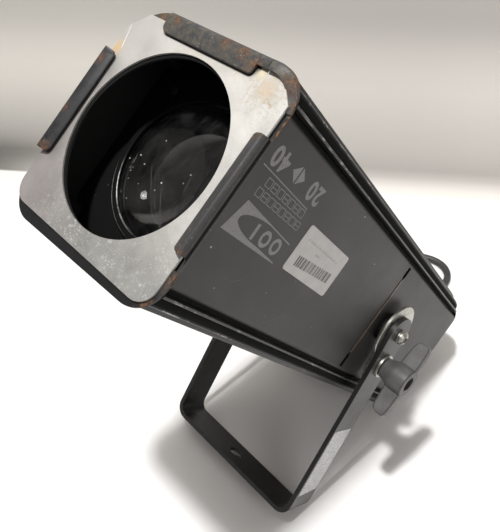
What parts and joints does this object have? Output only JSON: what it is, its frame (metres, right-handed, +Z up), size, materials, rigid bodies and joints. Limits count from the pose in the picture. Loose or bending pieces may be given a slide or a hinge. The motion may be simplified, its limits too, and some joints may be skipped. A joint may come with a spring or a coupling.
{
  "type": "profile spotlight",
  "caption": "Square theatre profile spotlight with a U-shaped yoke, sliding lenses, shutter blades, colour frame and mains cable.",
  "frame": {"origin": "on the floor, at the centre of the footprint of the spotlight without its cord", "axes": "+Z up, X across the yoke with the tilt knob at +X, the lens end up and towards -Y"},
  "size_m": [0.2339, 0.4597, 0.421],
  "materials": {
    "post_black": "worn satin paint",
    "panel_black": "satin powder coat",
    "inner_black": "matt heat-proof paint",
    "yoke_black": "satin powder coat",
    "rusty_steel": "rusted, remains of paint",
    "bare_aluminium": "bare, scratched",
    "zinc_steel": "zinc plated",
    "blade_steel": "heat-tinted stainless",
    "lens_glass": "clear",
    "reflector_mirror": "polished",
    "ceramic": "unglazed ceramic",
    "knob_plastic": "moulded",
    "cord_rubber": "matt",
    "strap_fabric": "woven"
  },
  "bodies": {
    "housing": {"corner_post_1": "post_black", "corner_post_2": "post_black", "corner_post_3": "post_black", "corner_post_4": "post_black", "side_panel_right": "panel_black", "side_panel_left": "panel_black", "underside_panel": "panel_black", "top_panel": "panel_black", "rear_cover": "panel_black", "gate_plate_front": "inner_black", "gate_plate_rear": "inner_black", "condenser_bulkhead": "inner_black", "condenser_ring": "inner_black", "reflector_bracket": "inner_black", "colour_frame_runner": "rusty_steel", "right_disc": "zinc_steel", "left_disc": "zinc_steel", "right_pivot_bolt": "zinc_steel", "left_pivot_bolt": "zinc_steel", "condenser_lens": "lens_glass", "reflector": "reflector_mirror", "right_spacer": "knob_plastic", "left_spacer": "knob_plastic", "cable_gland": "knob_plastic", "plug": "knob_plastic", "strain_relief": "cord_rubber", "power_cord": "cord_rubber", "cord_coil": "cord_rubber", "cord_tail": "cord_rubber", "cord_tie": "strap_fabric"},
    "colour_frame": {"colour_frame": "bare_aluminium"},
    "front_carriage": {"front_lens_carrier": "inner_black", "front_lens": "lens_glass", "front_lens_ring": "inner_black"},
    "front_knob": {"front_lens_knob": "knob_plastic"},
    "rear_carriage": {"rear_lens_carrier": "inner_black", "rear_lens": "lens_glass", "rear_lens_ring": "inner_black"},
    "rear_knob": {"rear_lens_knob": "knob_plastic"},
    "shutter_right": {"shutter_blade_right": "blade_steel"},
    "shutter_underside": {"shutter_blade_underside": "blade_steel"},
    "shutter_left": {"shutter_blade_left": "blade_steel"},
    "shutter_top": {"shutter_blade_top": "blade_steel"},
    "lamp_tray": {"lamp_tray": "panel_black", "lamp_holder": "ceramic", "lamp": "lens_glass"},
    "tray_screw": {"tray_thumb_screw": "zinc_steel"},
    "yoke": {"yoke": "yoke_black", "brake_shoe": "zinc_steel", "knob_washer": "zinc_steel"},
    "wing_knob": {"wing_knob": "knob_plastic"}
  },
  "joints": [
    {"name": "yoke_tilt", "type": "hinge", "parent": "housing", "child": "yoke", "pos_m": [-0.01005, 0.03594, 0.15503], "axis": [1, 0, 0], "range_deg": [-70, 50]},
    {"name": "brake_knob_turn", "type": "hinge", "parent": "yoke", "child": "wing_knob", "pos_m": [0.07995, 0.01818, 0.133], "axis": [1, 0, 0], "continuous": true},
    {"name": "colour_frame_slide", "type": "slide", "parent": "housing", "child": "colour_frame", "axis": [0, -0.8131, -0.5822], "range_m": [0, 0.13]},
    {"name": "front_lens_slide", "type": "slide", "parent": "housing", "child": "front_carriage", "axis": [0, -0.5822, 0.8131], "range_m": [-0.07, 0.008]},
    {"name": "front_knob_turn", "type": "hinge", "parent": "front_carriage", "child": "front_knob", "pos_m": [-0.01005, -0.04621, 0.37848], "axis": [0, 0.8131, 0.5822], "continuous": true},
    {"name": "rear_lens_slide", "type": "slide", "parent": "housing", "child": "rear_carriage", "axis": [0, -0.5822, 0.8131], "range_m": [-0.06, 0.022]},
    {"name": "rear_knob_turn", "type": "hinge", "parent": "rear_carriage", "child": "rear_knob", "pos_m": [-0.01005, 0.01958, 0.28661], "axis": [0, 0.8131, 0.5822], "continuous": true},
    {"name": "shutter_right_slide", "type": "slide", "parent": "housing", "child": "shutter_right", "axis": [1, 0, 0], "range_m": [0, 0.03]},
    {"name": "shutter_underside_slide", "type": "slide", "parent": "housing", "child": "shutter_underside", "axis": [0, 0.8131, 0.5822], "range_m": [0, 0.03]},
    {"name": "shutter_left_slide", "type": "slide", "parent": "housing", "child": "shutter_left", "axis": [-1, 0, 0], "range_m": [0, 0.03]},
    {"name": "shutter_top_slide", "type": "slide", "parent": "housing", "child": "shutter_top", "axis": [0, -0.8131, -0.5822], "range_m": [0, 0.03]},
    {"name": "lamp_tray_slide", "type": "slide", "parent": "housing", "child": "lamp_tray", "axis": [0, 0.8131, 0.5822], "range_m": [0, 0.09]},
    {"name": "tray_screw_turn", "type": "hinge", "parent": "lamp_tray", "child": "tray_screw", "pos_m": [-0.01005, 0.1692, 0.07765], "axis": [0, 0.8131, 0.5822], "continuous": true}
  ]
}
